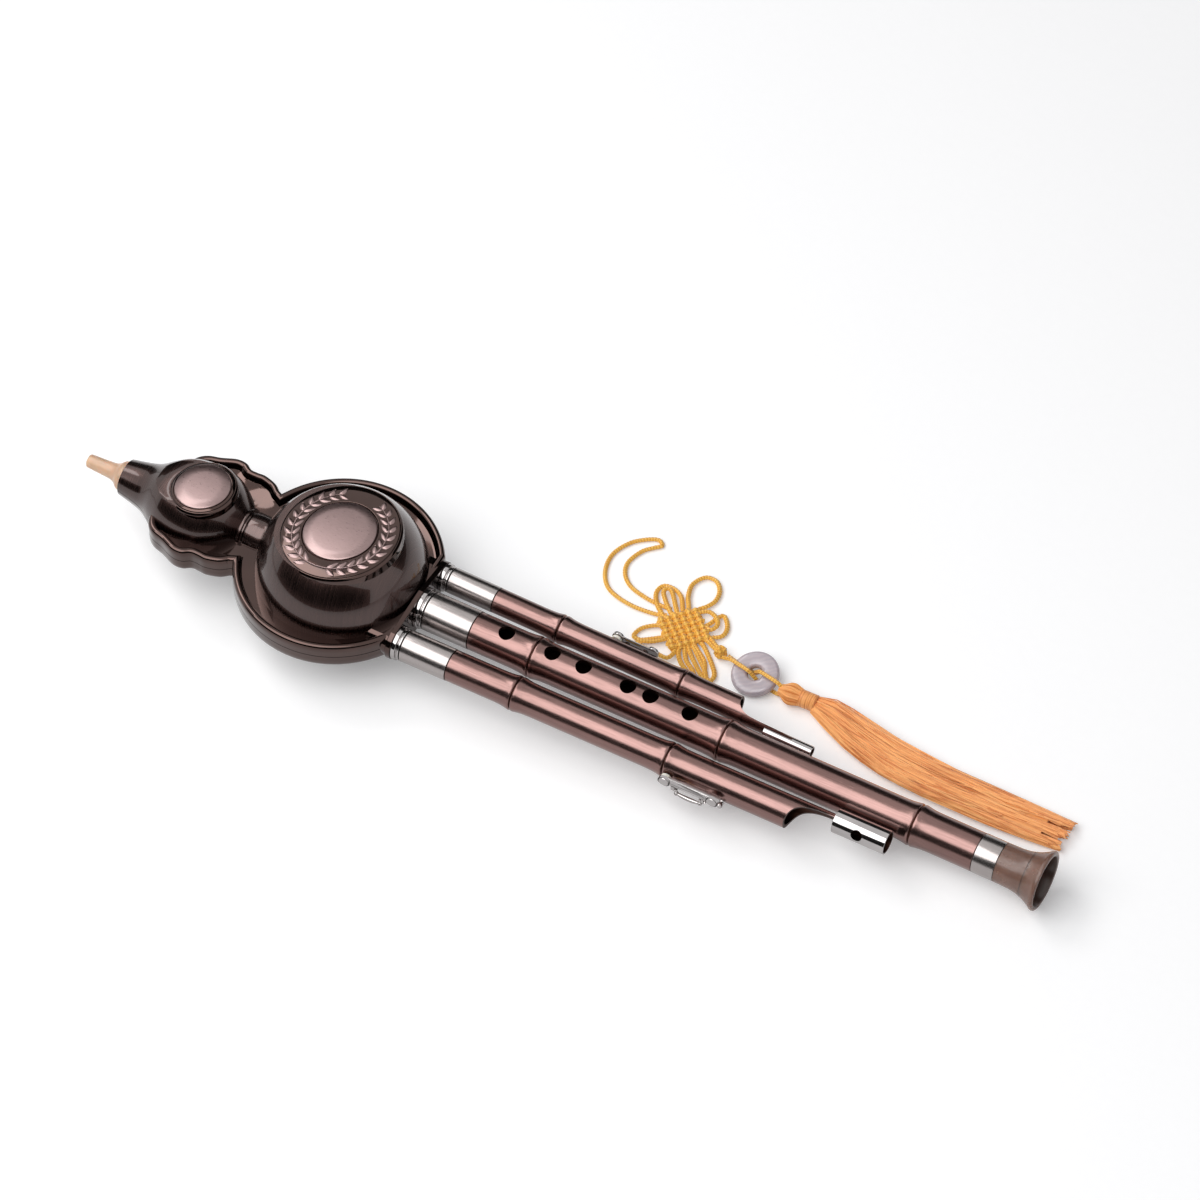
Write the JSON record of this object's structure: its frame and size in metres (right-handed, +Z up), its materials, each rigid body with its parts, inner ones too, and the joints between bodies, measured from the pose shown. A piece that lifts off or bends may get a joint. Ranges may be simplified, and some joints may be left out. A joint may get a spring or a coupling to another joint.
{
  "type": "hulusi",
  "caption": "Gourd-chambered free-reed wind instrument with a fingered melody pipe between a long and a short drone pipe, side keys and a knotted tassel ornament.",
  "frame": {"origin": "middle of the instrument's bounding box at the level of the surface that it lies on; the loose ornament is left out of that box", "axes": "+X along the instrument towards the bell, +Z up out of the front face, +Y towards the short drone; the pipes dip 2.6 degrees towards the bell"},
  "size_m": [0.4388, 0.135, 0.0558],
  "materials": {
    "plated_gourd": "antique copper plating, brushed round and lacquered",
    "polished_copper": "dark copper plating, mirror polished",
    "rose_copper_tube": "rose copper plating, brushed lengthwise",
    "satin_ferrule": "satin",
    "chrome_fitting": "mirror",
    "reed_brass": "satin",
    "reed_holder": "matte",
    "mouthpiece_plastic": "translucent beige",
    "bell_plastic": "translucent brown",
    "key_pad": "soft",
    "silk_cord": "twisted silk",
    "jade": "polished",
    "tassel_silk": "silk yarn"
  },
  "bodies": {
    "gourd": {"gourd_front_shell": "plated_gourd", "gourd_back_shell": "plated_gourd", "front_large_medallion": "polished_copper", "front_small_medallion": "polished_copper", "pipe_socket_cap": "polished_copper", "melody_socket_collar": "chrome_fitting", "near_socket_collar": "chrome_fitting", "far_socket_collar": "chrome_fitting"},
    "mouthpiece": {"mouthpiece": "mouthpiece_plastic"},
    "melody": {"melody_pipe": "rose_copper_tube", "melody_top_ferrule": "satin_ferrule", "melody_end_ferrule": "satin_ferrule", "melody_reed_holder": "reed_holder", "melody_reed": "reed_brass"},
    "bell": {"bell": "bell_plastic", "bell_plug": "bell_plastic"},
    "near_drone": {"near_drone_pipe": "rose_copper_tube", "near_drone_ferrule": "satin_ferrule", "near_reed_holder": "reed_holder", "near_reed": "reed_brass", "near_key_rod": "chrome_fitting", "near_key_post_1": "chrome_fitting", "near_key_post_2": "chrome_fitting", "near_key_spring": "reed_brass"},
    "near_key": {"near_key_lever": "chrome_fitting", "near_key_pad": "key_pad", "near_key_bar": "chrome_fitting"},
    "near_tuning": {"near_tuning_tube": "chrome_fitting"},
    "far_drone": {"far_drone_pipe": "rose_copper_tube", "far_drone_ferrule": "satin_ferrule", "far_reed_holder": "reed_holder", "far_reed": "reed_brass", "far_key_rod": "chrome_fitting", "far_key_post_1": "chrome_fitting", "far_key_post_2": "chrome_fitting", "far_key_spring": "reed_brass"},
    "far_key": {"far_key_lever": "chrome_fitting", "far_key_pad": "key_pad", "far_key_bar": "chrome_fitting"},
    "far_tuning": {"far_tuning_tube": "chrome_fitting"},
    "ornament": {"ornament_loop_cord": "silk_cord", "ornament_knot": "silk_cord", "ornament_button": "silk_cord", "ornament_ring_cord_1": "silk_cord", "ornament_ring_cord_2": "silk_cord", "jade_ring": "jade", "tassel_head": "tassel_silk", "tassel_binding": "tassel_silk", "tassel_skirt": "tassel_silk"}
  },
  "joints": [
    {"name": "mouthpiece_pull", "type": "slide", "parent": "gourd", "child": "mouthpiece", "axis": [-0.999, 0, 0.0449], "range_m": [0, 0.012]},
    {"name": "melody_pipe_pull", "type": "slide", "parent": "gourd", "child": "melody", "axis": [0.999, 0, -0.0449], "range_m": [0, 0.03]},
    {"name": "bell_pull", "type": "slide", "parent": "melody", "child": "bell", "axis": [0.999, 0, -0.0449], "range_m": [0, 0.008]},
    {"name": "near_drone_pull", "type": "slide", "parent": "gourd", "child": "near_drone", "axis": [0.999, 0.0079, -0.0449], "range_m": [0, 0.025]},
    {"name": "near_key_press", "type": "hinge", "parent": "near_drone", "child": "near_key", "pos_m": [0.07542, -0.02705, 0.01583], "axis": [0.999, 0.0079, -0.0449], "range_deg": [0, 14], "stiffness_Nm_per_rad": 0.02},
    {"name": "near_tuning_slide", "type": "slide", "parent": "near_drone", "child": "near_tuning", "axis": [0.999, 0.0079, -0.0449], "range_m": [-0.003, 0.006]},
    {"name": "far_drone_pull", "type": "slide", "parent": "gourd", "child": "far_drone", "axis": [0.9989, -0.0105, -0.0449], "range_m": [0, 0.025]},
    {"name": "far_key_press", "type": "hinge", "parent": "far_drone", "child": "far_key", "pos_m": [0.02292, 0.02319, 0.01819], "axis": [-0.9989, 0.0105, 0.0449], "range_deg": [0, 14], "stiffness_Nm_per_rad": 0.02},
    {"name": "far_tuning_slide", "type": "slide", "parent": "far_drone", "child": "far_tuning", "axis": [0.9989, -0.0105, -0.0449], "range_m": [-0.004, 0.006]},
    {"name": "ornament_lift", "type": "slide", "parent": "gourd", "child": "ornament", "axis": [0, 0, 1], "range_m": [0, 0.1]}
  ]
}
